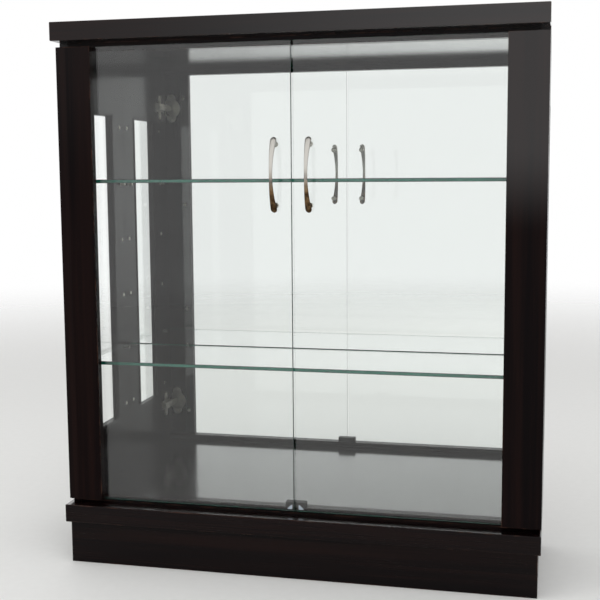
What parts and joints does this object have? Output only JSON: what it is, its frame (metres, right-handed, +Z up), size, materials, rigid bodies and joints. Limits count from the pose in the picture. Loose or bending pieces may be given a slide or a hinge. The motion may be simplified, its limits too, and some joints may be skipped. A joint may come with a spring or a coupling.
{
  "type": "collection display cabinet",
  "caption": "Slim glazed display cabinet with a mirror back, glass shelves, slot windows in its sides and a pair of hinged glass doors.",
  "frame": {"origin": "centre of the overall outline at floor level", "axes": "+Z up, front with the doors faces -Y, +X to the right seen from the front"},
  "size_m": [0.786, 0.274, 0.9],
  "materials": {
    "espresso_wood": "glossy very dark brown lacquer over a fine straight grain",
    "clear_glass": "clear float glass with polished green edges",
    "mirror": "silvered glass",
    "beech": "fluted beech dowel",
    "antique_nickel": "satin nickel, rubbed warm in the lower half",
    "bright_steel": "nickel-plated steel",
    "catch_plastic": "dark brown moulded case with steel poles",
    "soft_buffer": "clear soft bumper"
  },
  "bodies": {
    "carcass": {"arm_screws_left": "bright_steel", "arm_screws_right": "bright_steel", "back_panel": "clear_glass", "base_board": "espresso_wood", "bottom_rail": "espresso_wood", "dowels": "beech", "hinge_arms_left": "bright_steel", "hinge_arms_right": "bright_steel", "hinge_plates_left": "bright_steel", "hinge_plates_right": "bright_steel", "lower_shelf": "clear_glass", "magnetic_catch": "catch_plastic", "mirror": "mirror", "plate_screws_left": "bright_steel", "plate_screws_right": "bright_steel", "plinth_back": "espresso_wood", "plinth_end_left": "espresso_wood", "plinth_end_right": "espresso_wood", "plinth_front": "espresso_wood", "shelf_studs": "bright_steel", "side_bead_left": "espresso_wood", "side_bead_right": "espresso_wood", "side_pane_left": "clear_glass", "side_pane_right": "clear_glass", "side_panel_left": "clear_glass", "side_panel_right": "clear_glass", "top_board": "espresso_wood", "top_rail": "espresso_wood", "upper_shelf": "clear_glass"},
    "door_left": {"bumpers_left": "soft_buffer", "cup_screws_left": "bright_steel", "door_pane_left": "clear_glass", "glass_screws_left": "bright_steel", "handle_bolts_left": "bright_steel", "handle_left": "antique_nickel", "hinge_cups_left": "bright_steel", "stile_left": "espresso_wood", "strike_left": "bright_steel"},
    "door_right": {"bumpers_right": "soft_buffer", "cup_screws_right": "bright_steel", "door_pane_right": "clear_glass", "glass_screws_right": "bright_steel", "handle_bolts_right": "bright_steel", "handle_right": "antique_nickel", "hinge_cups_right": "bright_steel", "stile_right": "espresso_wood", "strike_right": "bright_steel"}
  },
  "joints": [
    {"name": "door_left_hinge", "type": "hinge", "parent": "carcass", "child": "door_left", "pos_m": [-0.393, -0.101, 0.4855], "axis": [0, 0, -1], "range_deg": [0, 100]},
    {"name": "door_right_hinge", "type": "hinge", "parent": "carcass", "child": "door_right", "pos_m": [0.393, -0.101, 0.4855], "axis": [0, 0, 1], "range_deg": [0, 100]}
  ]
}
